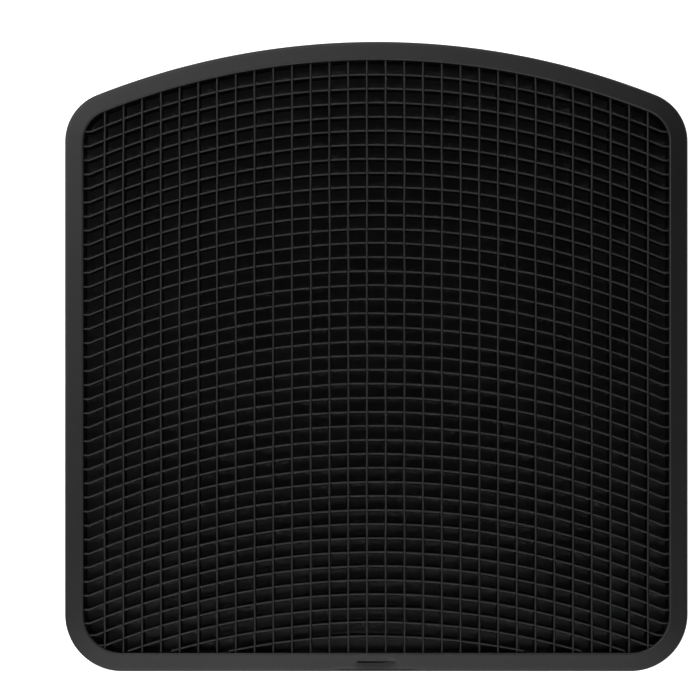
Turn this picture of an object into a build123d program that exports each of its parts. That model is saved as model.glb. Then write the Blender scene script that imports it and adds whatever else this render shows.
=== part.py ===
"""Egg-crate light-control grid with an arched top edge.

The grid lies on its back: front face up (+Z), arched edge towards +Y, back on z = 0,
and the middle of its outline over the origin. All sizes are in millimetres.
A deep front bezel has blind slots round its inside. Upright strips and arched strips
with half-lap notches interlock and drop into those slots from behind. A flat rear
frame closes the slots and is held by screws. Small magnets sit in its back.
"""
import os
from math import cos, pi, sqrt

from build123d import *

os.makedirs("parts", exist_ok=True)

# ---- Overall outline ----
overall_width = 180.0
overall_height = 182.0
crown_radius = 219.8           # outside of the arched top edge
top_corner_radius = 14.5
bottom_corner_radius = 16.5
rim_width = 5.4                # frame seen from the front

# ---- Depths ----
rear_frame_thickness = 2.2
strip_depth = 14.0
strip_front_play = 0.1         # between strip fronts and the bezel lip
lip_thickness = 0.9

# ---- Grid strips ----
strip_thickness = 0.55
upright_count = 30
arched_count = 41
side_cell = 6.05               # outermost upright to the side of the opening
bottom_cell = 4.7              # crown of the lowest arched strip to the opening's bottom
level_tab = 1.6                # straight tip of an arched strip seen inside the opening
slot_depth = 1.2               # bezel slots that hold the strip ends
slot_end_play = 0.15
slot_side_play = 0.06
lap_play = 0.06                # each side of a half-lap notch
tail_clearance = 0.15          # arched strips that run out over the bottom rail
tail_upright_gap = 0.4         # a tail stops this far short of an upright
tail_step = 0.1                # a tail is shortened by steps until it clears
tab_settling_rounds = 8        # a corner's wall moves in as a tab drops, so its place is iterated

# ---- Edges ----
lip_inner_round = 0.7
bezel_outer_round = 0.6
rear_edge_chamfer = 0.4

# ---- Nail recess in the bottom rail ----
recess_width = 10.7
recess_height = 2.9            # from the outer edge
recess_depth = 0.35
nail_slit_height = 0.4
nail_slit_depth = 0.8

# ---- Screws and magnets ----
screw_shank_diameter = 1.8
screw_head_diameter = 3.2
screw_head_height = 0.9
screw_length = 7.0             # under the head
screw_hole_play = 0.2          # radial, in the rear frame
screw_grip_play = 0.03         # radial, in the bezel
screw_head_play = 0.15         # radial, in the counterbore
screw_head_sink = 0.15         # head below the back face
screw_end_room = 0.6
screw_inset = 2.2              # screw axis from the outer edge
driver_recess_width = 1.2
driver_recess_depth = 0.5
screw_side_height = 16.0       # side screws, above the middle
screw_rail_offset = 34.0       # top and bottom screws, from the middle
magnet_diameter = 3.6
magnet_thickness = 1.4
magnet_play = 0.08             # radial
magnet_sink = 0.1              # below the back face
magnet_side_height = 48.0      # side magnets, from the middle
magnet_rail_offset = 8.0       # top and bottom magnets, from the middle

# ---- Places worked out from the sizes above ----
half_width = overall_width / 2
half_height = overall_height / 2
crown_centre_y = half_height - crown_radius
top_corner_x = half_width - top_corner_radius
top_corner_y = crown_centre_y + sqrt((crown_radius - top_corner_radius) ** 2 - top_corner_x**2)
bottom_corner_x = half_width - bottom_corner_radius
bottom_corner_y = bottom_corner_radius - half_height

opening_half_width = half_width - rim_width
upright_pitch = 2 * (opening_half_width - side_cell) / (upright_count - 1)
upright_places = [(k - (upright_count - 1) / 2) * upright_pitch for k in range(upright_count)]
arch_radius = crown_radius - rim_width
arched_pitch = (overall_height - 2 * rim_width - bottom_cell) / arched_count

strip_back_z = rear_frame_thickness
strip_middle_z = strip_back_z + strip_depth / 2
strip_front_z = strip_back_z + strip_depth
lip_back_z = strip_front_z + strip_front_play
front_z = lip_back_z + lip_thickness
half_strip = strip_thickness / 2


def top_y(x, inset):
    """Height of the top edge at x, for the outline moved inwards by inset."""
    x = abs(x)
    crown = crown_radius - inset
    if x < top_corner_x * crown / (crown_radius - top_corner_radius):
        return crown_centre_y + sqrt(crown**2 - x**2)
    return top_corner_y + sqrt((top_corner_radius - inset) ** 2 - (x - top_corner_x) ** 2)


def bottom_y(x, inset):
    """Height of the bottom edge at x, for the outline moved inwards by inset."""
    x = abs(x)
    if x < bottom_corner_x:
        return inset - half_height
    return bottom_corner_y - sqrt((bottom_corner_radius - inset) ** 2 - (x - bottom_corner_x) ** 2)


def side_x(y, inset):
    """Half-width of the outline moved inwards by inset, at height y."""
    if y > top_corner_y:
        return top_corner_x + sqrt((top_corner_radius - inset) ** 2 - (y - top_corner_y) ** 2)
    if y < bottom_corner_y:
        radius = bottom_corner_radius - inset
        drop = min(bottom_corner_y - y, radius)
        return bottom_corner_x + sqrt(radius**2 - drop**2)
    return half_width - inset


def outline(inset):
    """Face of the frame's outline, moved inwards by inset."""
    with BuildSketch(mode=Mode.PRIVATE) as shape:
        Rectangle(overall_width - 2 * inset, overall_height - 2 * inset)
        with Locations((0, crown_centre_y)):
            Circle(crown_radius - inset, mode=Mode.INTERSECT)
        fillet(shape.vertices().group_by(Axis.Y)[-1], top_corner_radius - inset)
        fillet(shape.vertices().group_by(Axis.Y)[0], bottom_corner_radius - inset)
    return shape.sketch


def crown_y(row):
    """Height of an arched strip's crown; row 0 is the topmost."""
    return half_height - rim_width - (row + 1) * arched_pitch


def arch_drop(x):
    """How far an arched strip has dropped below its crown at x."""
    return arch_radius - sqrt(arch_radius**2 - x**2)


def tab_start(row):
    """Where an arched strip turns level, one tab length short of the wall that it enters."""
    start = opening_half_width - level_tab
    for _ in range(tab_settling_rounds):
        start = side_x(crown_y(row) - arch_drop(start), rim_width) - level_tab
    return start


def tab_y(row):
    """Height of the level tabs at the ends of an arched strip."""
    return crown_y(row) - arch_drop(tab_start(row))


def has_tabs(row):
    """True where an arched strip reaches the side rails, false where it runs out below."""
    return tab_y(row) > bottom_y(0, rim_width) + slot_depth + half_strip


def strip_y(row, x):
    """Height of an arched strip's middle line at x."""
    return crown_y(row) - arch_drop(min(abs(x), tab_start(row)))


def tail_x(row):
    """Where an arched strip without tabs ends: clear of the bottom rail and of the uprights."""
    reach = opening_half_width - level_tab
    room = half_strip + tail_clearance
    while crown_y(row) - arch_drop(reach) - bottom_y(reach, rim_width) < room:
        reach -= tail_step
    for x in upright_places:
        if abs(reach - x) < half_strip + tail_upright_gap:
            reach = x - half_strip - tail_upright_gap
    return reach


def crosses(row, x):
    """True where an arched strip passes the upright at x."""
    if has_tabs(row):
        return abs(x) < side_x(tab_y(row), rim_width)
    return abs(x) < tail_x(row)


def lap_height(x):
    """Height of the notch that lets a sloping arched strip through the upright at x."""
    slope = abs(x) / sqrt(arch_radius**2 - x**2)
    return strip_thickness * (sqrt(1 + slope**2) + slope) + 2 * lap_play


# ---- Fastener and magnet places ----
corner_step = cos(pi / 4)
screw_top_corner = (top_corner_radius - screw_inset) * corner_step
screw_bottom_corner = (bottom_corner_radius - screw_inset) * corner_step
screw_places = []
magnet_places = []
magnet_inset = rim_width / 2
for side in (-1, 1):
    screw_places += [
        (side * (top_corner_x + screw_top_corner), top_corner_y + screw_top_corner),
        (side * (bottom_corner_x + screw_bottom_corner), bottom_corner_y - screw_bottom_corner),
        (side * (half_width - screw_inset), screw_side_height),
        (side * screw_rail_offset, top_y(screw_rail_offset, screw_inset)),
        (side * screw_rail_offset, bottom_y(screw_rail_offset, screw_inset)),
    ]
    magnet_places += [
        (side * (half_width - magnet_inset), magnet_side_height),
        (side * (half_width - magnet_inset), -magnet_side_height),
        (side * magnet_rail_offset, top_y(magnet_rail_offset, magnet_inset)),
        (side * magnet_rail_offset, bottom_y(magnet_rail_offset, magnet_inset)),
    ]

outer_face = outline(0)
opening_face = outline(rim_width)
counterbore_depth = screw_head_height + screw_head_sink
magnet_pocket_depth = magnet_thickness + magnet_sink

# ---- Front bezel: deep ring with blind slots, and a lip over the slots ----
slot_width = strip_thickness + 2 * slot_side_play
slot_reach = slot_depth + level_tab        # a slot cutter starts well inside the opening
slot_middle = slot_depth - slot_reach / 2  # its middle, measured out from the opening's edge
upright_slots = [(x, top_y(x, rim_width) + slot_middle) for x in upright_places]
upright_slots += [(x, bottom_y(x, rim_width) - slot_middle) for x in upright_places]
tab_slots = []
for row in filter(has_tabs, range(arched_count)):
    slot_x = side_x(tab_y(row), rim_width) + slot_middle
    tab_slots += [(-slot_x, tab_y(row)), (slot_x, tab_y(row))]

with BuildPart() as front_bezel:
    with BuildSketch(Plane.XY.offset(rear_frame_thickness)):
        add(outer_face)
        add(opening_face, mode=Mode.SUBTRACT)
        with Locations(*upright_slots):
            Rectangle(slot_width, slot_reach, mode=Mode.SUBTRACT)
        with Locations(*tab_slots):
            Rectangle(slot_reach, slot_width, mode=Mode.SUBTRACT)
    extrude(amount=lip_back_z - rear_frame_thickness)
    with BuildSketch(Plane.XY.offset(lip_back_z)):
        add(outer_face)
        add(opening_face, mode=Mode.SUBTRACT)
    extrude(amount=lip_thickness)
    front_face = front_bezel.faces().sort_by(Axis.Z)[-1]
    fillet(front_face.inner_wires()[0].edges(), lip_inner_round)
    front_face = front_bezel.faces().sort_by(Axis.Z)[-1]
    fillet(front_face.outer_wire().edges(), bezel_outer_round)
    with BuildSketch(Plane.XY.offset(front_z)):
        with Locations((0, bottom_y(0, 0) + recess_height / 2)):
            Rectangle(recess_width, recess_height)
    extrude(amount=-recess_depth, mode=Mode.SUBTRACT)
    with BuildSketch(Plane.XY.offset(front_z)):
        with Locations((0, bottom_y(0, 0) + recess_height - nail_slit_height / 2)):
            SlotOverall(recess_width, nail_slit_height)
    extrude(amount=-nail_slit_depth, mode=Mode.SUBTRACT)
    with BuildSketch(Plane.XY.offset(rear_frame_thickness)):
        with Locations(*screw_places):
            Circle(screw_shank_diameter / 2 + screw_grip_play)
    extrude(
        amount=screw_length + counterbore_depth - rear_frame_thickness + screw_end_room,
        mode=Mode.SUBTRACT,
    )
front_bezel.part.label = "front_bezel"
export_step(front_bezel.part, "parts/front_bezel.step")

# ---- Rear frame: flat ring behind the strips, with pockets in its back ----
with BuildPart() as rear_frame:
    with BuildSketch():
        add(outer_face)
        add(opening_face, mode=Mode.SUBTRACT)
    extrude(amount=rear_frame_thickness)
    back_face = rear_frame.faces().sort_by(Axis.Z)[0]
    chamfer(back_face.outer_wire().edges(), rear_edge_chamfer)
    with BuildSketch():
        with Locations(*screw_places):
            Circle(screw_shank_diameter / 2 + screw_hole_play)
    extrude(amount=rear_frame_thickness, mode=Mode.SUBTRACT)
    with BuildSketch():
        with Locations(*screw_places):
            Circle(screw_head_diameter / 2 + screw_head_play)
    extrude(amount=counterbore_depth, mode=Mode.SUBTRACT)
    with BuildSketch():
        with Locations(*magnet_places):
            Circle(magnet_diameter / 2 + magnet_play)
    extrude(amount=magnet_pocket_depth, mode=Mode.SUBTRACT)
rear_frame.part.label = "rear_frame"
export_step(rear_frame.part, "parts/rear_frame.step")

# ---- Upright strips: flat combs, notched from behind ----
for number, x in enumerate(upright_places, start=1):
    foot_y = bottom_y(x, rim_width) - slot_depth + slot_end_play
    head_y = top_y(x, rim_width) + slot_depth - slot_end_play
    laps = [(strip_y(row, x), strip_back_z + strip_depth / 4)
            for row in range(arched_count) if crosses(row, x)]
    with BuildPart() as upright:
        with BuildSketch(Plane.YZ.offset(x - half_strip)):
            with Locations(((foot_y + head_y) / 2, (strip_back_z + strip_front_z) / 2)):
                Rectangle(head_y - foot_y, strip_depth)
            with Locations(*laps):
                Rectangle(lap_height(x), strip_depth / 2, mode=Mode.SUBTRACT)
        extrude(amount=strip_thickness)
    name = f"upright_strip_{number:02d}"
    upright.part.label = name
    export_step(upright.part, f"parts/{name}.step")


def arched_face(row):
    """Plan view of one arched strip: an even band with level tabs, or with cut tails."""
    crown = crown_y(row)
    centre_y = crown - arch_radius
    with BuildSketch(mode=Mode.PRIVATE) as band:
        if has_tabs(row):
            end_x = side_x(tab_y(row), rim_width) + slot_depth - slot_end_play
            tab_top = tab_y(row) + half_strip
            tab_bottom = tab_y(row) - half_strip
            upper_x = sqrt((arch_radius + half_strip) ** 2 - (tab_top - centre_y) ** 2)
            lower_x = sqrt((arch_radius - half_strip) ** 2 - (tab_bottom - centre_y) ** 2)
            with BuildLine():
                Line((-end_x, tab_top), (-upper_x, tab_top))
                ThreePointArc((-upper_x, tab_top), (0, crown + half_strip), (upper_x, tab_top))
                Line((upper_x, tab_top), (end_x, tab_top))
                Line((end_x, tab_top), (end_x, tab_bottom))
                Line((end_x, tab_bottom), (lower_x, tab_bottom))
                ThreePointArc((lower_x, tab_bottom), (0, crown - half_strip), (-lower_x, tab_bottom))
                Line((-lower_x, tab_bottom), (-end_x, tab_bottom))
                Line((-end_x, tab_bottom), (-end_x, tab_top))
        else:
            end_x = tail_x(row)
            end_y = strip_y(row, end_x)
            lean = end_x / arch_radius * half_strip
            rise = (end_y - centre_y) / arch_radius * half_strip
            upper = (end_x + lean, end_y + rise)
            lower = (end_x - lean, end_y - rise)
            with BuildLine():
                ThreePointArc((-upper[0], upper[1]), (0, crown + half_strip), upper)
                Line(upper, lower)
                ThreePointArc(lower, (0, crown - half_strip), (-lower[0], lower[1]))
                Line((-lower[0], lower[1]), (-upper[0], upper[1]))
        make_face()
    return band.sketch


def arched_strip(row):
    """One arched strip in its place, whole behind and notched from the front."""
    laps = [(x, strip_y(row, x)) for x in upright_places if crosses(row, x)]
    with BuildPart(mode=Mode.PRIVATE) as strip:
        with BuildSketch(Plane.XY.offset(strip_back_z)):
            add(arched_face(row))
        extrude(amount=strip_depth / 2)
        with BuildSketch(Plane.XY.offset(strip_middle_z)):
            add(arched_face(row))
            with Locations(*laps):
                Rectangle(strip_thickness + 2 * lap_play, arched_pitch, mode=Mode.SUBTRACT)
        extrude(amount=strip_depth / 2)
    return strip.part


# ---- Arched strips, two to a node: curved combs, notched from the front ----
middle_row = arched_count // 2
middle_strip = arched_strip(middle_row)    # those between the corners are all like it
for first in range(0, arched_count, 2):
    rows = range(first, min(first + 2, arched_count))
    with BuildPart() as arched:
        for row in rows:
            if tab_start(row) == tab_start(middle_row):
                with Locations((0, crown_y(row) - crown_y(middle_row))):
                    add(middle_strip)
            else:
                add(arched_strip(row))
    name = "arched_strips_" + "_".join(f"{row + 1:02d}" for row in rows)
    arched.part.label = name
    export_step(arched.part, f"parts/{name}.step")

# ---- Screws: flat heads, sunk in the back ----
head_base_z = screw_head_sink
with BuildPart() as frame_screws:
    with BuildSketch(Plane.XY.offset(head_base_z)):
        with Locations(*screw_places):
            Circle(screw_head_diameter / 2)
    extrude(amount=screw_head_height)
    with BuildSketch(Plane.XY.offset(head_base_z)):
        with Locations(*screw_places):
            Rectangle(driver_recess_width, driver_recess_width / 3)
            Rectangle(driver_recess_width / 3, driver_recess_width)
    extrude(amount=driver_recess_depth, mode=Mode.SUBTRACT)
    with BuildSketch(Plane.XY.offset(counterbore_depth)):
        with Locations(*screw_places):
            Circle(screw_shank_diameter / 2)
    extrude(amount=screw_length)
frame_screws.part.label = "frame_screws"
export_step(frame_screws.part, "parts/frame_screws.step")

# ---- Magnets: discs bonded into the back ----
with BuildPart() as holding_magnets:
    with BuildSketch(Plane.XY.offset(magnet_sink)):
        with Locations(*magnet_places):
            Circle(magnet_diameter / 2)
    extrude(amount=magnet_thickness)
holding_magnets.part.label = "holding_magnets"
export_step(holding_magnets.part, "parts/holding_magnets.step")
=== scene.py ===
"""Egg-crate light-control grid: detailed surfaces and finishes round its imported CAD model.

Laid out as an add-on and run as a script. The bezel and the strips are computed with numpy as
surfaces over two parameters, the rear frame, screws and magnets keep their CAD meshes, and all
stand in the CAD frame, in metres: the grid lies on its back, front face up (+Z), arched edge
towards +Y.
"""
import math

import bpy
import numpy as np
from bpy.props import FloatProperty, FloatVectorProperty, IntProperty, PointerProperty
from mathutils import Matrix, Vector


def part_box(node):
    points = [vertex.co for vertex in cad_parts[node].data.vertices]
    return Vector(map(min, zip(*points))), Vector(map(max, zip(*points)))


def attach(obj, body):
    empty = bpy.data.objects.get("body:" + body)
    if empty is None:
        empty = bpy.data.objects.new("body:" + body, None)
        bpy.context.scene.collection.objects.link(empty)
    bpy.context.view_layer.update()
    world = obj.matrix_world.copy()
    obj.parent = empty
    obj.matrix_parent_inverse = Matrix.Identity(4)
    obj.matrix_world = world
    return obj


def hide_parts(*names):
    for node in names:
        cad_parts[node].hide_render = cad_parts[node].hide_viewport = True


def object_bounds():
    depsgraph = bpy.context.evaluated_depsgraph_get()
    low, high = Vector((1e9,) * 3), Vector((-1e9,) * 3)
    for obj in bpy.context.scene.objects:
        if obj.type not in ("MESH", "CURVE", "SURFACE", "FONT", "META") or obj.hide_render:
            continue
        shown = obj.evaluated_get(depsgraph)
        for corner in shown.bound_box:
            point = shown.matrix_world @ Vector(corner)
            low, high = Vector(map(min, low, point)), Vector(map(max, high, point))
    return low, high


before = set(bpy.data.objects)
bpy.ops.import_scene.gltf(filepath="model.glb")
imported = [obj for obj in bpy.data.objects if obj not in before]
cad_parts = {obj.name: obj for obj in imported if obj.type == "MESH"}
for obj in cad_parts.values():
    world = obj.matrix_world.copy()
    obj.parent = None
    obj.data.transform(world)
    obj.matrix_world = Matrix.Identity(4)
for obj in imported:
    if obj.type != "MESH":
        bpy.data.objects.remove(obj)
CAD_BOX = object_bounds()

bl_info = {
    "name": "Light Control Grid",
    "version": (1, 0, 0),
    "blender": (4, 5, 0),
    "location": "3D View > Sidebar > Grid",
    "description": "Builds an egg-crate light-control grid with its finishes and studio",
    "category": "Add Mesh",
}

MM = 0.001
BODY = "root"
BEZEL_NODE = "front_bezel"
REAR_NODE = "rear_frame"
SCREW_NODE = "frame_screws"
MAGNET_NODE = "holding_magnets"
UPRIGHT_NODES = sorted(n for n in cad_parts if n.startswith("upright_strip_"))
ARCHED_NODES = sorted(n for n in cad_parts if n.startswith("arched_strips_"))
BEZEL_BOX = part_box(BEZEL_NODE)
UPRIGHT_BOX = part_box(UPRIGHT_NODES[0])

# ---- Fixed details ----
SHARP_ANGLE = math.radians(38)      # edges sharper than this are not smoothed
SLOT_EDGE = 0.012 * MM              # stretch of wall over which a slot reaches full depth
MERGE_GAP = 0.001 * MM              # outline stations closer than this are one
STRAIGHT_UP = 0.999                 # a normal with this much Y belongs to the straight foot
TAIL_STEP = 0.1 * MM                # steps in which a strip that runs out is shortened
TAB_ROUNDS = 8                      # rounds that settle where a level tab starts
BEND_STATIONS = (-0.5, -0.2, 0, 0.2, 0.5)   # stations round a tab's bend, in millimetres

# Stations along each stretch of the outline, and steps in a quarter turn
FOOT_STATIONS = 21
RECESS_STATIONS = 27
BOTTOM_CORNER_STATIONS = 25
SIDE_STATIONS = 33
TOP_CORNER_STATIONS = 19
CROWN_STATIONS = 49
BEZEL_TURN = 6
STRIP_TURN = 3

# The nail recess: soft ends, a slit that fades to the right, a groove along the edge
RECESS_EASE = 2.4 * MM              # length of the recess's soft ends
SCOOP_SHARE = 0.75                  # scoop's depth as a share of the recess depth
RECESS_BACK = 0.5                   # width of the recess's upper slope, in slit heights
SLIT_REACH = 0.7                    # half-width of the slit with its sides, in slit heights
SLIT_STEEPNESS = 2                  # how fast the slit's sides fall
SLIT_FADE = 0.88                    # share of its depth that the slit loses by its right end
SLIT_TIP = 0.15 * MM                # length of the slit's sloping ends
SLIT_POINTS = (-1.4, -1, -0.6, -0.3, 0, 0.3)    # section points, in slit heights
BELOW_SLIT_POINTS = 6               # section points between the outer round and the slit
GROOVE_REACH = 11 * MM              # the groove's half-length
GROOVE_DEPTH = 0.07 * MM
EDGE_STEP = 0.04 * MM               # half-width of the band that holds the groove's points

# The strips' unevenness
WAVE_LENGTHS = (20 * MM, 70 * MM)   # shortest and longest wave of a strip's wander
WAVES = 4                           # half of them wander, half lean
END_EASE = 4 * MM                   # stretch at each end over which the wander starts
WEAR_AND_HIGHLIGHT_REACH = 0.9                     # share of the front round painted lighter: edge wear and a painted highlight

# Finishes that are the same all over a piece
FRAME_SHEEN = 0.3
STRIP_SHEEN = 0.26

# The card's soft cut corners, in margins inside its diagonal
CARD_CUT = (1.4, 0.3)
TENT_SOFTNESS = 0.05                # half-width of the step from walls to overhead
VIEW_REACH = 20                     # how far the camera sees, in metres


# ---- Sizes and colours that a user would change ----
def length(name, description, default_mm):
    """A length property whose default is given in millimetres."""
    return FloatProperty(
        name=name, description=description, default=default_mm * MM, unit="LENGTH", precision=5
    )


def tone(name, description, default):
    """A colour property."""
    return FloatVectorProperty(
        name=name, description=description, default=default, subtype="COLOR", size=3, min=0, max=1
    )


class GridFrameSizes(bpy.types.PropertyGroup):
    """Sizes of the moulded frame round the strips."""

    width: FloatProperty(
        name="Width", description="Overall width", unit="LENGTH", precision=5,
        default=BEZEL_BOX[1][0] - BEZEL_BOX[0][0],
    )
    height: length("Height", "Overall height, foot to crown", 182.0)
    crown_radius: length("Crown radius", "Outside radius of the arched edge", 219.8)
    top_corner: length("Top corner", "Outside radius of the two top corners", 14.5)
    bottom_corner: length("Bottom corner", "Outside radius of the two bottom corners", 16.5)
    rim: length("Rim", "Width of the frame seen from the front", 5.4)
    lip: length("Lip", "Thickness of the lip that covers the slots", 0.9)
    inner_round: length("Inner round", "Radius of the lip's inner edge", 0.55)
    outer_round: length("Outer round", "Radius of the bezel's outer front edge", 0.6)
    slot_depth: length("Slot depth", "How far the strip slots reach into the frame", 1.2)
    slot_play: length("Slot play", "Room on each side of a strip in its slot", 0.06)
    bottom_cell: length("Bottom cell", "From the last arched strip's crown to the frame", 4.7)
    rim_fall: length("Rim fall", "How far the rim's face falls towards its outer edge", 0.35)
    recess_width: length("Recess width", "Width of the nail recess in the bottom rail", 10.7)
    recess_height: length("Recess height", "Recess height above the outer edge", 2.9)
    recess_depth: length("Recess depth", "Depth of the nail recess", 0.35)
    slit_height: length("Slit height", "Height of the slit along the recess", 0.3)
    slit_depth: length("Slit depth", "Depth of the slit below the front face", 0.8)


class GridStripSizes(bpy.types.PropertyGroup):
    """Sizes of the interlocking strips."""

    thickness: length("Thickness", "Thickness of every strip", 0.55)
    level_tab: length("Level tab", "Straight tip of an arched strip before the frame", 1.6)
    end_play: length("End play", "Room between a strip's end and its slot's end", 0.15)
    lap_play: length("Lap play", "Room on each side of a half-lap notch", 0.06)
    tail_clearance: length("Tail clearance", "Room below a strip that runs out", 0.15)
    tail_upright_gap: length("Tail gap", "A tail stops this far short of an upright", 0.4)
    front_round: length("Front round", "Radius of a strip's front edge", 0.2)
    back_round: length("Back round", "Radius of a strip's back edge", 0.1)
    wander: length("Wander", "How far a strip strays sideways along its length", 0.05)
    lean: length("Lean", "How far a strip's front edge leans out of upright", 0.06)
    seed: IntProperty(name="Seed", description="Seed of the strips' unevenness", default=11)


class GridFinishes(bpy.types.PropertyGroup):
    """Colours of the finishes."""

    frame_black: tone("Frame", "Satin black of the moulded frame", (0.004, 0.004, 0.0041))
    strip_black: tone("Strips", "Matt black of the strips", (0.003, 0.003, 0.0031))
    # Lighter colour of the rounded edges: partly handling wear, partly a painted highlight where the
    # edges catch the light
    rubbed: tone("Rubbed", "Plastic where handling has polished it", (0.012, 0.012, 0.012))
    screw: tone("Screws", "Black plated steel", (0.09, 0.09, 0.095))
    magnet: tone("Magnets", "Nickel plating", (0.62, 0.6, 0.57))
    floor: tone("Floor", "Pale floor", (0.86, 0.86, 0.86))


class GridStudio(bpy.types.PropertyGroup):
    """Floor, lights and camera."""

    camera_distance: length("Camera distance", "From the front face to the camera", 1296.0)
    field_width: length("Field width", "Width of the view at the front face", 202.2)
    shift_x: FloatProperty(name="Shift X", description="Sideways shift of the view", default=-0.0376)
    shift_y: FloatProperty(name="Shift Y", description="Upward shift of the view", default=0.0093)
    floor_size: length("Floor size", "Side of the square floor", 6000.0)
    floor_glow: FloatProperty(name="Floor glow", description="Light from the floor itself", default=0.68)
    tent: FloatProperty(name="Tent", description="Brightness of the tent's walls", default=1.0)
    tent_top: FloatProperty(
        name="Tent top", description="Sine of the elevation where the tent's walls end", default=0.72
    )
    overhead: FloatProperty(name="Overhead", description="Brightness above the walls", default=0.012)


# ---- Plan geometry shared by the frame and the strips ----
class Plan:
    """The frame's outline and the strips' places, from the property groups and the CAD boxes.

    The outline is a foot line, two sides, a crown arc and four corner arcs. Moved inwards
    by an inset, every arc keeps its centre and loses that much of its radius.
    """

    def __init__(self, sizes, strips):
        self.sizes = sizes
        self.strips = strips
        self.half_width = sizes.width / 2
        self.half_height = sizes.height / 2
        self.crown_centre = self.half_height - sizes.crown_radius
        self.top_x = self.half_width - sizes.top_corner
        reach = sizes.crown_radius - sizes.top_corner
        self.top_centre = self.crown_centre + math.sqrt(reach**2 - self.top_x**2)
        self.bottom_x = self.half_width - sizes.bottom_corner
        self.bottom_centre = sizes.bottom_corner - self.half_height
        self.arch_radius = sizes.crown_radius - sizes.rim
        self.half_strip = strips.thickness / 2
        self.uprights = [(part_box(n)[0][0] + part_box(n)[1][0]) / 2 for n in UPRIGHT_NODES]
        self.row_pitch = (sizes.height - 2 * sizes.rim - sizes.bottom_cell) / row_count()
        self.back_z = UPRIGHT_BOX[0][2]
        self.front_z = UPRIGHT_BOX[1][2]
        self.middle_z = (self.back_z + self.front_z) / 2

    def top_y(self, x, inset):
        """Height of the top edge at x: the crown arc, or past its end the corner arc."""
        x = abs(x)
        crown = self.sizes.crown_radius - inset
        if x < self.top_x * crown / (self.sizes.crown_radius - self.sizes.top_corner):
            return self.crown_centre + math.sqrt(crown**2 - x**2)
        corner = self.sizes.top_corner - inset
        return self.top_centre + math.sqrt(max(corner**2 - (x - self.top_x) ** 2, 0))

    def bottom_y(self, x, inset):
        """Height of the bottom edge at x: the foot line, or past its end the corner arc."""
        x = abs(x)
        if x < self.bottom_x:
            return inset - self.half_height
        corner = self.sizes.bottom_corner - inset
        return self.bottom_centre - math.sqrt(max(corner**2 - (x - self.bottom_x) ** 2, 0))

    def side_x(self, y, inset):
        """Half-width of the outline at height y."""
        if y > self.top_centre:
            corner = self.sizes.top_corner - inset
            return self.top_x + math.sqrt(max(corner**2 - (y - self.top_centre) ** 2, 0))
        if y < self.bottom_centre:
            corner = self.sizes.bottom_corner - inset
            return self.bottom_x + math.sqrt(max(corner**2 - (self.bottom_centre - y) ** 2, 0))
        return self.half_width - inset

    def crown_y(self, row):
        """Height of an arched strip's crown; row 0 is the topmost."""
        return self.half_height - self.sizes.rim - (row + 1) * self.row_pitch

    def drop(self, x):
        """How far an arched strip has fallen below its crown at x, a circle's sagitta."""
        return self.arch_radius - np.sqrt(self.arch_radius**2 - np.square(x))

    def tab_start(self, row):
        """Where an arched strip turns level, one tab short of the wall that it enters."""
        start = self.half_width - self.sizes.rim - self.strips.level_tab
        for _ in range(TAB_ROUNDS):
            wall = self.side_x(self.crown_y(row) - self.drop(start), self.sizes.rim)
            start = wall - self.strips.level_tab
        return float(start)

    def tab_y(self, row):
        """Height of the level tabs of an arched strip."""
        return float(self.crown_y(row) - self.drop(self.tab_start(row)))

    def has_tabs(self, row):
        """True where an arched strip reaches the sides, false where it runs out below."""
        floor = self.bottom_y(0, self.sizes.rim)
        return self.tab_y(row) > floor + self.sizes.slot_depth + self.half_strip

    def strip_y(self, row, x):
        """Height of an arched strip's middle line at x."""
        return self.crown_y(row) - self.drop(np.minimum(np.abs(x), self.tab_start(row)))

    def end_x(self, row):
        """Half-length of an arched strip, in plan."""
        if self.has_tabs(row):
            wall = self.side_x(self.tab_y(row), self.sizes.rim)
            return wall + self.sizes.slot_depth - self.strips.end_play
        reach = self.half_width - self.sizes.rim - self.strips.level_tab
        room = self.half_strip + self.strips.tail_clearance
        while self.crown_y(row) - self.drop(reach) - self.bottom_y(reach, self.sizes.rim) < room:
            reach -= TAIL_STEP
        for x in self.uprights:
            if abs(reach - x) < self.half_strip + self.strips.tail_upright_gap:
                reach = x - self.half_strip - self.strips.tail_upright_gap
        return reach

    def crosses(self, row, x):
        """True where an arched strip passes the upright at x."""
        if self.has_tabs(row):
            return abs(x) < self.side_x(self.tab_y(row), self.sizes.rim)
        return abs(x) < self.end_x(row)

    def lap_half(self, x):
        """Half the height of the notch that a sloping arched strip needs in an upright."""
        slope = abs(x) / math.sqrt(self.arch_radius**2 - x**2)
        passing = self.strips.thickness * (math.sqrt(1 + slope**2) + slope)
        return passing / 2 + self.strips.lap_play


def plan():
    """The plan for the scene's present sizes."""
    return Plan(bpy.context.scene.grid_frame, bpy.context.scene.grid_strips)


# ---- Mesh making ----
def grid_faces(rows, columns, closed_rows):
    """Quads of a grid of points whose columns close on themselves; rows close if asked.

    Each quad runs along its row's direction first, so that normals point to rows x columns.
    """
    row = np.arange(rows if closed_rows else rows - 1)[:, None]
    column = np.arange(columns)[None, :]
    next_row = (row + 1) % rows
    next_column = (column + 1) % columns
    quads = np.stack(
        [row * columns + column, next_row * columns + column,
         next_row * columns + next_column, row * columns + next_column], axis=-1
    )
    return quads.reshape(-1, 4)


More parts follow.
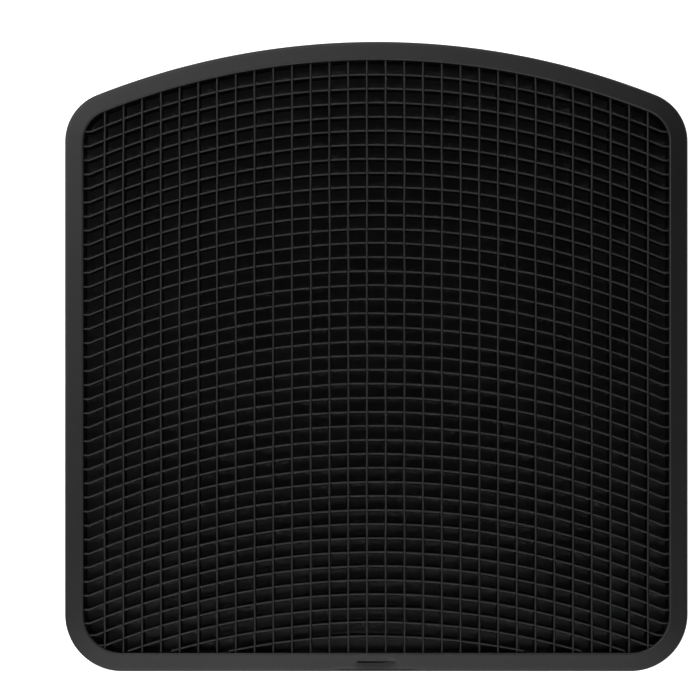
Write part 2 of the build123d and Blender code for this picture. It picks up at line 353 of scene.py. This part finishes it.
def surface_object(name, shells, node, material, wear_and_highlight=None):
    """One mesh object from (points, quads, caps) shells, shaded smooth up to sharp edges."""
    points, faces, start = [], [], 0
    for shell_points, quads, caps in shells:
        points.append(shell_points)
        faces += (quads + start).tolist()
        faces += [[index + start for index in cap] for cap in caps]
        start += len(shell_points)
    mesh = bpy.data.meshes.new(name)
    mesh.from_pydata(np.concatenate(points).tolist(), [], faces)
    mesh.validate()
    mesh.polygons.foreach_set("use_smooth", np.ones(len(mesh.polygons), dtype=bool))
    mesh.set_sharp_from_angle(angle=SHARP_ANGLE)
    # Stored mask of where the edges are painted lighter, as wear and as a painted highlight
    if wear_and_highlight is not None:
        layer = mesh.attributes.new("wear_and_highlight", "FLOAT", "POINT")
        layer.data.foreach_set("value", np.concatenate(wear_and_highlight).astype(np.float32))
    mesh.materials.append(material)
    mesh.update()
    piece = bpy.data.objects.new(name, mesh)
    bpy.context.scene.collection.objects.link(piece)
    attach(piece, BODY)
    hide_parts(node)
    return piece


def line(x, y, normal):
    """Points of a straight stretch, x or y being one number, and its inward normals."""
    points = np.stack(np.broadcast_arrays(x, y), axis=1)
    return points, np.tile(normal, (len(points), 1))


def arc(centre_x, centre_y, radius, angles):
    """Points and inward normals of an arc, at angles measured from +X."""
    out = np.stack([np.cos(angles), np.sin(angles)], axis=1)
    return np.array([centre_x, centre_y]) + radius * out, -out


def slot_edges(places, half):
    """Places at both sides of every slot, and just outside them."""
    return [x + step for x in places for step in (-half - SLOT_EDGE, -half, half, half + SLOT_EDGE)]


def outline_stations(p):
    """Stations round the outer edge, anticlockwise from the middle of the foot.

    The right half is a straight foot, a corner arc, a straight side, a second corner arc
    and half of the crown arc, each with evenly spread places and places at the slots'
    edges. An upright's slot sinks up or down, a level tab's slot sinks sideways. The left
    half is the mirror image. Gives points, inward normals and slot vectors.
    """
    s = p.sizes
    half = p.half_strip + s.slot_play
    uprights = np.array([x for x in p.uprights if x > 0])
    tabs = np.array([p.tab_y(r) for r in range(row_count()) if p.has_tabs(r)])
    across, along = slot_edges(uprights, half), slot_edges(tabs, half)
    low, high = s.bottom_corner - s.rim, s.top_corner - s.rim
    turn = math.atan2(p.top_centre - p.crown_centre, p.top_x)
    low_corner = [-math.acos((x - p.bottom_x) / low) for x in across if x > p.bottom_x]
    low_corner += [math.asin((y - p.bottom_centre) / low) for y in along if y < p.bottom_centre]
    high_corner = [math.asin((y - p.top_centre) / high) for y in along if y > p.top_centre]
    high_corner += [math.acos((x - p.top_x) / high) for x in across if x > p.top_x]
    crown = [math.acos(x / p.arch_radius) for x in across]
    recess = np.linspace(0, GROOVE_REACH + RECESS_EASE, RECESS_STATIONS).tolist()
    recess += [s.recess_width / 2, s.recess_width / 2 + SLIT_TIP]
    foot = np.linspace(0, p.bottom_x, FOOT_STATIONS).tolist() + recess
    foot = np.sort(foot + [x for x in across if x < p.bottom_x])
    side = np.linspace(p.bottom_centre, p.top_centre, SIDE_STATIONS).tolist()
    side = np.sort(side + [y for y in along if p.bottom_centre < y < p.top_centre])
    low_corner += np.linspace(-math.pi / 2, 0, BOTTOM_CORNER_STATIONS).tolist()
    high_corner = [a for a in high_corner if a < turn]
    high_corner += np.linspace(0, turn, TOP_CORNER_STATIONS).tolist()
    crown = [a for a in crown if a > turn]
    crown += np.linspace(turn, math.pi / 2, CROWN_STATIONS).tolist()
    parts = [
        line(foot, -p.half_height, (0.0, 1.0)),
        arc(p.bottom_x, p.bottom_centre, s.bottom_corner, np.sort(low_corner)),
        line(p.half_width, side, (-1.0, 0.0)),
        arc(p.top_x, p.top_centre, s.top_corner, np.sort(high_corner)),
        arc(0, p.crown_centre, s.crown_radius, np.sort(crown)),
    ]
    points, normals = [np.concatenate(pieces) for pieces in zip(*parts)]
    wall = points + normals * s.rim
    reach = half + SLOT_EDGE / 2
    upright = np.abs(wall[:, :1] - uprights).min(axis=1) < reach
    level = (np.abs(wall[:, 1:] - tabs).min(axis=1) < reach) & ~upright
    sinks = np.stack([level * 1.0, upright * np.sign(wall[:, 1])], axis=1)
    mirror = np.array([-1.0, 1.0])
    points, normals, sinks = [
        np.concatenate([right, right[::-1] * mirror]) for right in (points, normals, sinks)
    ]
    gap = np.linalg.norm(points - np.roll(points, 1, axis=0), axis=1)
    keep = gap > MERGE_GAP
    return points[keep], normals[keep], sinks[keep]


def row_count():
    """Number of arched strips, from the last strip's number in the last node's name."""
    return int(ARCHED_NODES[-1].split("_")[-1])


def box_step(value, low, high, ease):
    """One between low and high, zero outside, with straight slopes of width ease."""
    rising = np.clip((value - low) / ease + 1, 0, 1)
    falling = np.clip((high - value) / ease + 1, 0, 1)
    return np.minimum(rising, falling)


def quarter(count):
    """Angles of a quarter turn in count equal steps."""
    return np.linspace(0, math.pi / 2, count + 1)


def bezel_profile(p, front, back):
    """The bezel's section as insets, heights, slot flags and a mask for painted highlight and wear on
    its rounded edges, in one closed loop.

    Up the outer wall, a quarter circle on to the front face, across it, a quarter circle
    over the lip, down the inner wall and back along the underside. The front face falls
    in a straight line towards the outer edge.
    """
    s = p.sizes
    turn = quarter(BEZEL_TURN)
    outer_inset = s.outer_round * (1 - np.cos(turn))
    outer_z = front - s.outer_round * (1 - np.sin(turn))
    across = np.concatenate([
        np.linspace(s.outer_round, s.recess_height - s.slit_height, BELOW_SLIT_POINTS)[1:-1],
        s.recess_height + s.slit_height * np.array(SLIT_POINTS),
        [(s.recess_height + s.rim) / 2, s.rim - s.inner_round - EDGE_STEP],
    ])
    inner_inset = s.rim - s.inner_round * (1 - np.sin(turn))
    inner_z = front - s.inner_round * (1 - np.cos(turn))
    slot_top = front - s.lip
    inset = np.concatenate([[0, 0], outer_inset, across, inner_inset, [s.rim] * 3])
    walls = [slot_top, slot_top - SLOT_EDGE, back]
    face = np.full(len(across), front)
    z = np.concatenate([[back, (front + back) / 2], outer_z, face, inner_z, walls])
    fall = s.rim_fall * np.clip(1 - inset / (s.rim - s.inner_round), 0, 1)
    z[2:] -= fall[2:]
    sunk = np.zeros(len(z))
    sunk[-2:] = 1
    # Rounded edges get a lighter colour, strongest halfway round: wear and a painted highlight where
    # they catch the light
    edge = np.sin(2 * turn)
    wear_and_highlight = np.concatenate([[0, 0], edge, np.zeros(len(across)), edge, [0, 0, 0]])
    return inset, z, sunk, wear_and_highlight


def smooth(value):
    """Zero below zero, one above one, and an S-shaped cubic between."""
    value = np.clip(value, 0, 1)
    return value * value * (3 - 2 * value)


def recess_drop(p, x, inset):
    """How far the nail recess lowers the front face.

    A shallow scoop with soft ends, deepest along its upper edge, and there a narrow slit
    that is deepest at its left end and fades to the right. A fine groove runs along the
    outer edge below them.
    """
    s = p.sizes
    half = s.recess_width / 2
    ends = smooth((half + RECESS_EASE - np.abs(x)) / (2 * RECESS_EASE))
    rise = smooth((s.recess_height - inset) / (RECESS_BACK * s.slit_height))
    scoop = SCOOP_SHARE * s.recess_depth * ends * rise * inset / s.recess_height
    along = np.clip((x + half) / s.recess_width, 0, 1)
    tips = box_step(x, -half, half, SLIT_TIP)
    across = 1 - np.abs(inset - s.recess_height + s.slit_height / 2) / (SLIT_REACH * s.slit_height)
    slit = (s.slit_depth - s.recess_depth) * tips * np.clip(SLIT_STEEPNESS * across, 0, 1)
    edge = np.abs(inset - s.outer_round) < EDGE_STEP
    groove = GROOVE_DEPTH * edge * box_step(x, -GROOVE_REACH, GROOVE_REACH, RECESS_EASE)
    return scoop + slit * (1 - SLIT_FADE * along) + groove


def bezel_shell(p, front, back):
    """The bezel: its section carried round the outline.

    A point is the outer edge's point, plus the inset along the inward normal, plus the
    slot vector times the slot depth where the section is inside a slot.
    """
    points, normals, sinks = outline_stations(p)
    inset, z, sunk, wear_and_highlight = bezel_profile(p, front, back)
    flat = points[:, None, :] + normals[:, None, :] * inset[None, :, None]
    flat = flat + sinks[:, None, :] * (p.sizes.slot_depth * sunk)[None, :, None]
    height = np.broadcast_to(z, flat.shape[:2]).copy()
    on_foot = (normals[:, 1] > STRAIGHT_UP)[:, None] & (points[:, 1] < 0)[:, None]
    face = (z > front - p.sizes.lip) & (inset < p.sizes.rim - p.sizes.inner_round)
    height -= np.where(on_foot & face, recess_drop(p, points[:, :1], inset[None, :]), 0)
    shell = np.concatenate([flat, height[..., None]], axis=2).reshape(-1, 3)
    quads = grid_faces(len(points), len(z), closed_rows=True)
    return (shell, quads, []), np.tile(wear_and_highlight, len(points))


def strip_section(p):
    """A strip's section loop: sideways offsets, height offsets, edge flags and a mask for painted
    highlight and wear on the front edge.

    Up one side from the back edge, over the rounded front edge and down the other side.
    An edge flag of one puts a point at the front edge, and zero at the back edge.
    """
    st, half = p.strips, p.half_strip
    turn = quarter(STRIP_TURN)
    over = half - st.front_round * (1 - np.cos(turn))
    down = -st.front_round * (1 - np.sin(turn))
    back = half - st.back_round
    across = np.concatenate([[back, half], over, -over[::-1], [-half, -back]])
    height = np.concatenate([[0, st.back_round], down, down[::-1], [st.back_round, 0]])
    edge = np.concatenate([[0, 0], np.ones(2 * len(turn)), [0, 0]])
    # The front round, the strip's top, gets the lighter colour: edge wear and a painted highlight
    return across, height, edge, edge * (height > -WEAR_AND_HIGHLIGHT_REACH * st.front_round)


def strip_shell(p, path, back, front, rng):
    """One strip: its section carried along a path in plan, closed by a cap at each end.

    back and front give the heights of its two edges at each station, which is how the
    notches are cut. A slow sine of random phase lets the strip wander and lean a little.
    """
    st = p.strips
    across, height, edge, wear_and_highlight = strip_section(p)
    ahead = np.gradient(path, axis=0)
    ahead /= np.linalg.norm(ahead, axis=1)[:, None]
    side = np.stack([ahead[:, 1], -ahead[:, 0]], axis=1)
    travel = np.concatenate([[0], np.cumsum(np.linalg.norm(np.diff(path, axis=0), axis=1))])
    waves = 2 * math.pi * travel[:, None] / rng.uniform(*WAVE_LENGTHS, WAVES)[None, :]
    waves = np.sin(waves + rng.uniform(0, 2 * math.pi, WAVES)[None, :])
    ends = np.clip(np.minimum(travel, travel[-1] - travel) / END_EASE, 0, 1)[:, None]
    z = back[:, None] * (1 - edge) + front[:, None] * edge + height
    tilt = (z - p.back_z) / (p.front_z - p.back_z)
    half = WAVES // 2
    stray = st.wander * waves[:, :half].mean(axis=1)[:, None]
    stray = stray + st.lean * waves[:, half:].mean(axis=1)[:, None] * tilt
    flat = path[:, None, :] + side[:, None, :] * (across + stray * ends)[..., None]
    shell = np.concatenate([flat, z[..., None]], axis=2).reshape(-1, 3)
    columns, rows = len(across), len(path)
    start = list(range(columns))
    end = [(rows - 1) * columns + c for c in reversed(range(columns))]
    return (shell, grid_faces(rows, columns, closed_rows=False), [start, end]), np.tile(wear_and_highlight, rows)


def notch_stations(places, halves, start, end, plain):
    """Stations along a strip and a flag of one inside its notches.

    Every notch has four stations, at its sides and just outside them.
    """
    stations = [(start, 0), (end, 0)]
    for place, half in zip(places, halves):
        stations += [(place - half - SLOT_EDGE, 0), (place - half, 1)]
        stations += [(place + half, 1), (place + half + SLOT_EDGE, 0)]
    spans = [(place, half + SLOT_EDGE) for place, half in zip(places, halves)]
    free = [x for x in plain if not any(a - reach <= x <= a + reach for a, reach in spans)]
    stations += [(x, 0) for x in free]
    return np.array(sorted(stations), dtype=float).T


def upright_shell(p, x, rng):
    """An upright at x: straight, notched from behind to half its depth at each arched strip."""
    st, s = p.strips, p.sizes
    foot = p.bottom_y(x, s.rim) - s.slot_depth + st.end_play
    head = p.top_y(x, s.rim) + s.slot_depth - st.end_play
    rows = [r for r in range(row_count()) if p.crosses(r, x)]
    places = [float(p.strip_y(r, x)) for r in rows]
    travel, notched = notch_stations(places, [p.lap_half(x)] * len(rows), foot, head, [])
    path = np.stack([np.full_like(travel, x), travel], axis=1)
    back = np.where(notched > 0, p.middle_z, p.back_z)
    return strip_shell(p, path, back, np.full_like(travel, p.front_z), rng)


def arched_shell(p, row, rng):
    """An arched strip: a circular arc between level tabs, notched from the front."""
    st = p.strips
    end = p.end_x(row)
    places = [x for x in p.uprights if p.crosses(row, x)]
    half = p.half_strip + st.lap_play
    bend = p.tab_start(row)
    plain = [side * (bend + step * MM) for side in (-1, 1) for step in BEND_STATIONS]
    plain = plain if p.has_tabs(row) else []
    travel, notched = notch_stations(places, [half] * len(places), -end, end, plain)
    path = np.stack([travel, p.strip_y(row, travel)], axis=1)
    front = np.where(notched > 0, p.middle_z, p.front_z)
    return strip_shell(p, path, np.full_like(travel, p.back_z), front, rng)


# ---- Finishes ----
class Value:
    """A node socket that takes part in Python arithmetic, one Math node an operator."""

    def __init__(self, nodes, socket):
        self.nodes = nodes
        self.socket = socket

    def _math(self, operation, first, second):
        return self.nodes.node("ShaderNodeMath", {"operation": operation}, {0: first, 1: second})

    def __add__(self, other):
        return self._math("ADD", self, other)

    __radd__ = __add__

    def __sub__(self, other):
        return self._math("SUBTRACT", self, other)

    def __rsub__(self, other):
        return self._math("SUBTRACT", other, self)

    def __mul__(self, other):
        return self._math("MULTIPLY", self, other)

    __rmul__ = __mul__


class Nodes:
    """Adds nodes to one node tree."""

    def __init__(self, tree):
        self.tree = tree

    def node(self, kind, settings, inputs, output=0):
        """Adds a node: its settings first, then its sockets' values or links."""
        made = self.tree.nodes.new(kind)
        for key, value in settings.items():
            setattr(made, key, value)
        for key, value in inputs.items():
            self.feed(made.inputs[key], value)
        return Value(self, made.outputs[output])

    def feed(self, socket, value):
        """Links a Value to a socket, or sets a plain value on it."""
        if isinstance(value, Value):
            self.tree.links.new(value.socket, socket)
        else:
            socket.default_value = value

    def ramp(self, value, low, high):
        """Value spread so that low becomes zero and high one, and held between them."""
        inputs = {"Value": value, "From Min": low, "From Max": high}
        return self.node("ShaderNodeMapRange", {"clamp": True}, inputs)

    def blend(self, mask, first, second):
        """A colour between first and second."""
        first, second = [c if isinstance(c, Value) else (*c, 1.0) for c in (first, second)]
        return self.node("ShaderNodeMix", {"data_type": "RGBA"}, {0: mask, 6: first, 7: second}, 2)


class Finish(Nodes):
    """A material built round one Principled shader."""

    def __init__(self, name, metallic=0.0):
        self.material = bpy.data.materials.new(name)
        self.material.use_nodes = True
        super().__init__(self.material.node_tree)
        self.shader = self.tree.nodes["Principled BSDF"]
        self.shader.inputs["Metallic"].default_value = metallic
        self.place = self.node("ShaderNodeTexCoord", {}, {}, "Object")

    def noise(self, scale, detail=2.0, roughness=0.5, place=None):
        """Noise over the object's own coordinates."""
        inputs = {"Scale": scale, "Detail": detail, "Roughness": roughness}
        inputs["Vector"] = place or self.place
        return self.node("ShaderNodeTexNoise", {}, inputs, "Fac")

    def stretched(self, scale):
        """The object's coordinates, scaled differently along each axis."""
        return self.node("ShaderNodeMapping", {}, {"Vector": self.place, "Scale": scale})

    def bump(self, height, distance, strength):
        """A normal from a height in the range zero to one."""
        inputs = {"Height": height, "Distance": distance, "Strength": strength}
        return self.node("ShaderNodeBump", {}, inputs)

    def set(self, socket, value):
        """Feeds one of the shader's sockets."""
        self.feed(self.shader.inputs[socket], value)


def shade(colour, factor):
    """A colour multiplied by a number."""
    return tuple(min(c * factor, 1.0) for c in colour)


def moulded_frame(colours):
    """Satin moulded plastic: fine spark grain, slow gloss changes, rounded edges painted lighter as wear
    and as a painted highlight.
    """
    f = Finish("moulded_frame")
    wear_and_highlight = f.node("ShaderNodeAttribute", {"attribute_name": "wear_and_highlight"}, {}, "Fac")
    grain = f.noise(scale=3800.0, detail=2.0, roughness=0.6)
    peel = f.noise(scale=420.0, detail=3.0)
    cloud = f.noise(scale=34.0, detail=3.0)
    smear = f.ramp(f.noise(scale=90.0, detail=4.0, roughness=0.6), 0.45, 0.75)
    # Patchy lighter colour on the rounded edges: handling wear and a painted highlight
    worn_and_highlit_edge = wear_and_highlight * f.ramp(f.noise(scale=160.0, detail=3.0), 0.3, 0.7)
    black = tuple(colours.frame_black)
    base = f.blend(cloud, shade(black, 0.85), shade(black, 1.15))
    base = f.blend(worn_and_highlit_edge * 0.5, base, tuple(colours.rubbed))
    f.set("Base Color", base)
    f.set("Roughness", 0.3 + cloud * 0.06 + grain * 0.05 + smear * 0.03 - worn_and_highlit_edge * 0.04)
    f.set("Specular IOR Level", FRAME_SHEEN)
    f.set("Normal", f.bump(grain * 0.7 + peel * 0.6, 0.012 * MM, 0.5))
    return f.material


def matt_strips(colours):
    """Matt plastic strip: drawn lines along it, clouded black, a front edge painted lighter as wear and
    as a painted highlight.
    """
    f = Finish("matt_strips")
    wear_and_highlight = f.node("ShaderNodeAttribute", {"attribute_name": "wear_and_highlight"}, {}, "Fac")
    drawn = f.noise(scale=1.0, detail=3.0, roughness=0.6, place=f.stretched((90.0, 90.0, 4200.0)))
    grain = f.noise(scale=3000.0, detail=2.0, roughness=0.6)
    cloud = f.noise(scale=120.0, detail=3.0)
    black = tuple(colours.strip_black)
    base = f.blend(cloud, shade(black, 0.7), shade(black, 1.3))
    # Patchy lighter colour on the front edge: handling wear and a painted highlight
    worn_and_highlit_front = wear_and_highlight * f.ramp(f.noise(scale=260.0, detail=3.0), 0.25, 0.75)
    base = f.blend(worn_and_highlit_front * 0.6, base, tuple(colours.rubbed))
    f.set("Base Color", base)
    f.set("Roughness", 0.36 + cloud * 0.1 + grain * 0.05 - worn_and_highlit_front * 0.06)
    f.set("Specular IOR Level", STRIP_SHEEN)
    f.set("Normal", f.bump(drawn * 0.7 + grain * 0.3, 0.01 * MM, 0.4))
    return f.material


def moulded_rear(colours):
    """The rear frame's plastic: as the bezel's, coarser grained, with faint flow marks."""
    f = Finish("moulded_rear")
    grain = f.noise(scale=2600.0, detail=2.0, roughness=0.6)
    cloud = f.noise(scale=30.0, detail=3.0)
    flow = f.noise(scale=1.0, detail=3.0, roughness=0.5, place=f.stretched((60.0, 260.0, 60.0)))
    black = tuple(colours.frame_black)
    base = f.blend(cloud, shade(black, 0.85), shade(black, 1.2))
    f.set("Base Color", f.blend(f.ramp(flow, 0.5, 0.8) * 0.3, base, shade(black, 1.6)))
    f.set("Roughness", 0.44 + cloud * 0.08 + grain * 0.06)
    f.set("Normal", f.bump(grain, 0.012 * MM, 0.5))
    return f.material


def blackened_screws(colours):
    """Black plated steel with turning lines and brightened high spots."""
    f = Finish("blackened_screws", 1.0)
    lines = f.noise(scale=1.0, detail=2.0, roughness=0.5, place=f.stretched((600.0, 600.0, 9000.0)))
    worn = f.ramp(f.noise(scale=2200.0, detail=3.0), 0.55, 0.8)
    steel = tuple(colours.screw)
    f.set("Base Color", f.blend(worn * 0.7, shade(steel, 0.8), shade(steel, 3.2)))
    f.set("Roughness", 0.3 + lines * 0.12)
    f.set("Normal", f.bump(lines, 0.004 * MM, 0.4))
    return f.material


def nickel_magnets(colours):
    """Nickel plating, softly mottled, with fine handling scratches."""
    f = Finish("nickel_magnets", 1.0)
    mottle = f.noise(scale=900.0, detail=4.0)
    scratch = f.noise(scale=1.0, detail=2.0, roughness=0.5, place=f.stretched((9000.0, 500.0, 500.0)))
    scratch = f.ramp(scratch, 0.62, 0.7)
    nickel = tuple(colours.magnet)
    f.set("Base Color", f.blend(mottle, shade(nickel, 0.85), nickel))
    f.set("Roughness", 0.16 + mottle * 0.12 + scratch * 0.1)
    f.set("Normal", f.bump(scratch, 0.002 * MM, 0.4))
    return f.material


def lit_floor(colours):
    """Pale floor lit from below like a light table, with a card's shadow under the grid.

    The card is the outline drawn in a little: nearer than the crown arc to its centre,
    between the two sides, above the foot and inside its two corners.
    """
    f = Finish("lit_floor")
    p = plan()
    margin = p.sizes.rim
    diagonal = p.half_width + p.half_height - (2 - math.sqrt(2)) * p.sizes.bottom_corner
    pale = tuple(colours.floor)
    cloud = f.noise(scale=6.0, detail=3.0)
    fibre = f.noise(scale=900.0, detail=2.0)
    along = f.node("ShaderNodeSeparateXYZ", {}, {"Vector": f.place}, "X")
    upward = f.node("ShaderNodeSeparateXYZ", {}, {"Vector": f.place}, "Y")
    centre = (0.0, p.crown_centre, 0.0)
    reach = f.node("ShaderNodeVectorMath", {"operation": "DISTANCE"}, {0: f.place, 1: centre}, "Value")
    side = f.node("ShaderNodeMath", {"operation": "ABSOLUTE"}, {0: along})
    edges = (
        f.ramp(reach, p.sizes.crown_radius - margin, p.sizes.crown_radius - margin / 2),
        f.ramp(side, p.half_width - margin, p.half_width - margin / 2),
        f.ramp(0.0 - upward, p.half_height - margin, p.half_height - margin / 2),
        f.ramp(side - upward, diagonal - CARD_CUT[0] * margin, diagonal - CARD_CUT[1] * margin),
    )
    card = (1.0 - edges[0]) * (1.0 - edges[1]) * (1.0 - edges[2]) * (1.0 - edges[3])
    f.set("Base Color", f.blend(cloud, shade(pale, 0.98), pale))
    f.set("Roughness", 0.6 + cloud * 0.1)
    f.set("Normal", f.bump(fibre, 0.01 * MM, 0.3))
    f.set("Emission Color", f.blend(card, (1.0, 1.0, 1.0), (0.0, 0.0, 0.0)))
    f.set("Emission Strength", bpy.context.scene.grid_studio.floor_glow)
    return f.material


def finish_of(maker):
    """The material that maker makes, made on first use and named after maker."""
    made = bpy.data.materials.get(maker.__name__)
    return made or maker(bpy.context.scene.grid_finishes)


def dress_node(node, material):
    """Gives a CAD node that stays on show a material."""
    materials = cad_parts[node].data.materials
    materials.clear()
    materials.append(material)


# ---- Operators ----
class MESH_OT_grid_bezel(bpy.types.Operator):
    """Build the front bezel with its strip slots and nail recess"""

    bl_idname = "mesh.grid_bezel"
    bl_label = "Front Bezel"

    def execute(self, context):
        low, high = BEZEL_BOX
        shell, wear_and_highlight = bezel_shell(plan(), high[2], low[2])
        material = finish_of(moulded_frame)
        surface_object("front_bezel_surface", [shell], BEZEL_NODE, material, [wear_and_highlight])
        return {"FINISHED"}


class MESH_OT_grid_uprights(bpy.types.Operator):
    """Build the straight upright strips"""

    bl_idname = "mesh.grid_uprights"
    bl_label = "Upright Strips"

    def execute(self, context):
        p = plan()
        rng = np.random.default_rng(p.strips.seed)
        material = finish_of(matt_strips)
        for node, x in zip(UPRIGHT_NODES, p.uprights):
            shell, wear_and_highlight = upright_shell(p, x, rng)
            surface_object(node + "_surface", [shell], node, material, [wear_and_highlight])
        return {"FINISHED"}


class MESH_OT_grid_arched(bpy.types.Operator):
    """Build the arched strips, as many to a piece as their node holds"""

    bl_idname = "mesh.grid_arched"
    bl_label = "Arched Strips"

    def execute(self, context):
        p = plan()
        rng = np.random.default_rng(p.strips.seed + 1)
        material = finish_of(matt_strips)
        for node in ARCHED_NODES:
            rows = [int(part) - 1 for part in node.split("_")[2:]]
            shells, wear_and_highlights = zip(*[arched_shell(p, row, rng) for row in rows])
            surface_object(node + "_surface", shells, node, material, wear_and_highlights)
        return {"FINISHED"}


class MESH_OT_grid_back(bpy.types.Operator):
    """Finish the rear frame, its screws and its magnets"""

    bl_idname = "mesh.grid_back"
    bl_label = "Rear Frame, Screws and Magnets"

    def execute(self, context):
        dress_node(REAR_NODE, finish_of(moulded_rear))
        dress_node(SCREW_NODE, finish_of(blackened_screws))
        dress_node(MAGNET_NODE, finish_of(nickel_magnets))
        return {"FINISHED"}


def aim(thing, target):
    """Turns a light or camera so that it looks at target."""
    thing.rotation_euler = (Vector(target) - thing.location).to_track_quat("-Z", "Y").to_euler()


def softbox(name, lean, bearing, distance, size, power):
    """A rectangular soft light aimed at the grid.

    lean is its angle from overhead and bearing its direction from +X, both in degrees.
    """
    lean, bearing = math.radians(lean), math.radians(bearing)
    light = bpy.data.lights.new(name, "AREA")
    light.shape = "RECTANGLE"
    light.size, light.size_y = size
    light.energy = power
    holder = bpy.data.objects.new(name, light)
    level = distance * math.sin(lean)
    height = distance * math.cos(lean)
    holder.location = (level * math.cos(bearing), level * math.sin(bearing), height)
    bpy.context.scene.collection.objects.link(holder)
    aim(holder, (0, 0, 0))
    return holder


SQUARE_BOX = (0.25, 0.25)
STRIP_BOX = (0.35, 0.04)

# name, degrees from overhead, bearing in degrees, distance, size, watts
LIGHTS = (
    ("crown_softbox", 38, 110, 0.5, SQUARE_BOX, 0.62),
    ("crown_fill", 36, 80, 0.5, SQUARE_BOX, 0.21),
    ("corner_softbox", 38, 153, 0.5, SQUARE_BOX, 0.66),
    ("left_softbox", 38, 190, 0.5, SQUARE_BOX, 0.12),
    ("foot_softbox", 34, 250, 0.5, SQUARE_BOX, 0.66),
    ("foot_fill", 34, 292, 0.5, SQUARE_BOX, 0.39),
    ("crown_strip", 12, 90, 0.767, STRIP_BOX, 0.06),
    ("foot_strip", 9.8, 270, 0.761, STRIP_BOX, 0.075),
)


class MESH_OT_grid_studio(bpy.types.Operator):
    """Build the pale floor, the soft lights and the camera"""

    bl_idname = "mesh.grid_studio"
    bl_label = "Studio"

    def execute(self, context):
        scene = context.scene
        studio = scene.grid_studio
        half = studio.floor_size / 2
        mesh = bpy.data.meshes.new("floor")
        corners = [(-half, -half, 0), (half, -half, 0), (half, half, 0), (-half, half, 0)]
        mesh.from_pydata(corners, [], [(0, 1, 2, 3)])
        floor = bpy.data.objects.new("floor", mesh)
        scene.collection.objects.link(floor)
        mesh.materials.append(finish_of(lit_floor))
        for light in LIGHTS:
            softbox(*light)
        world = bpy.data.worlds.new("studio")
        scene.world = world
        world.use_nodes = True
        sky = Nodes(world.node_tree)
        way = sky.node("ShaderNodeTexCoord", {}, {}, "Generated")
        upward = sky.node("ShaderNodeSeparateXYZ", {}, {"Vector": way}, "Z")
        low, high = studio.tent_top - TENT_SOFTNESS, studio.tent_top + TENT_SOFTNESS
        overhead = sky.ramp(upward, low, high)
        glow = sky.blend(overhead, [studio.tent] * 3, [studio.overhead] * 3)
        sky.feed(world.node_tree.nodes["Background"].inputs["Color"], glow)
        camera = bpy.data.objects.new("camera", bpy.data.cameras.new("camera"))
        scene.collection.objects.link(camera)
        scene.camera = camera
        camera.location = (0, 0, CAD_BOX[1][2] + studio.camera_distance)
        camera.data.lens = camera.data.sensor_width * studio.camera_distance / studio.field_width
        camera.data.shift_x = studio.shift_x
        camera.data.shift_y = studio.shift_y
        camera.data.clip_end = VIEW_REACH
        scene.view_settings.view_transform = "Standard"
        return {"FINISHED"}


class VIEW3D_PT_grid(bpy.types.Panel):
    """Lists the grid's sizes, finishes and operators"""

    bl_idname = "VIEW3D_PT_grid"
    bl_label = "Light Control Grid"
    bl_space_type = "VIEW_3D"
    bl_region_type = "UI"
    bl_category = "Grid"

    def draw(self, context):
        layout = self.layout
        for group in GROUPS:
            settings = getattr(context.scene, group)
            box = layout.box()
            for name in settings.__annotations__:
                box.prop(settings, name)
        for operator in OPERATORS:
            layout.operator(operator.bl_idname)


OPERATORS = (
    MESH_OT_grid_bezel, MESH_OT_grid_uprights, MESH_OT_grid_arched, MESH_OT_grid_back,
    MESH_OT_grid_studio,
)
GROUPS = {
    "grid_frame": GridFrameSizes,
    "grid_strips": GridStripSizes,
    "grid_finishes": GridFinishes,
    "grid_studio": GridStudio,
}


def register():
    """Registers every class and hangs the property groups on the scene."""
    for cls in (*GROUPS.values(), *OPERATORS, VIEW3D_PT_grid):
        bpy.utils.register_class(cls)
    for name, group in GROUPS.items():
        setattr(bpy.types.Scene, name, PointerProperty(type=group))


def unregister():
    """Undoes register."""
    for name in GROUPS:
        delattr(bpy.types.Scene, name)
    for cls in (VIEW3D_PT_grid, *reversed(OPERATORS), *reversed(GROUPS.values())):
        bpy.utils.unregister_class(cls)


def main():
    """Builds everything in order."""
    register()
    for operator in OPERATORS:
        area, name = operator.bl_idname.split(".")
        getattr(getattr(bpy.ops, area), name)()


if __name__ == "__main__":
    main()
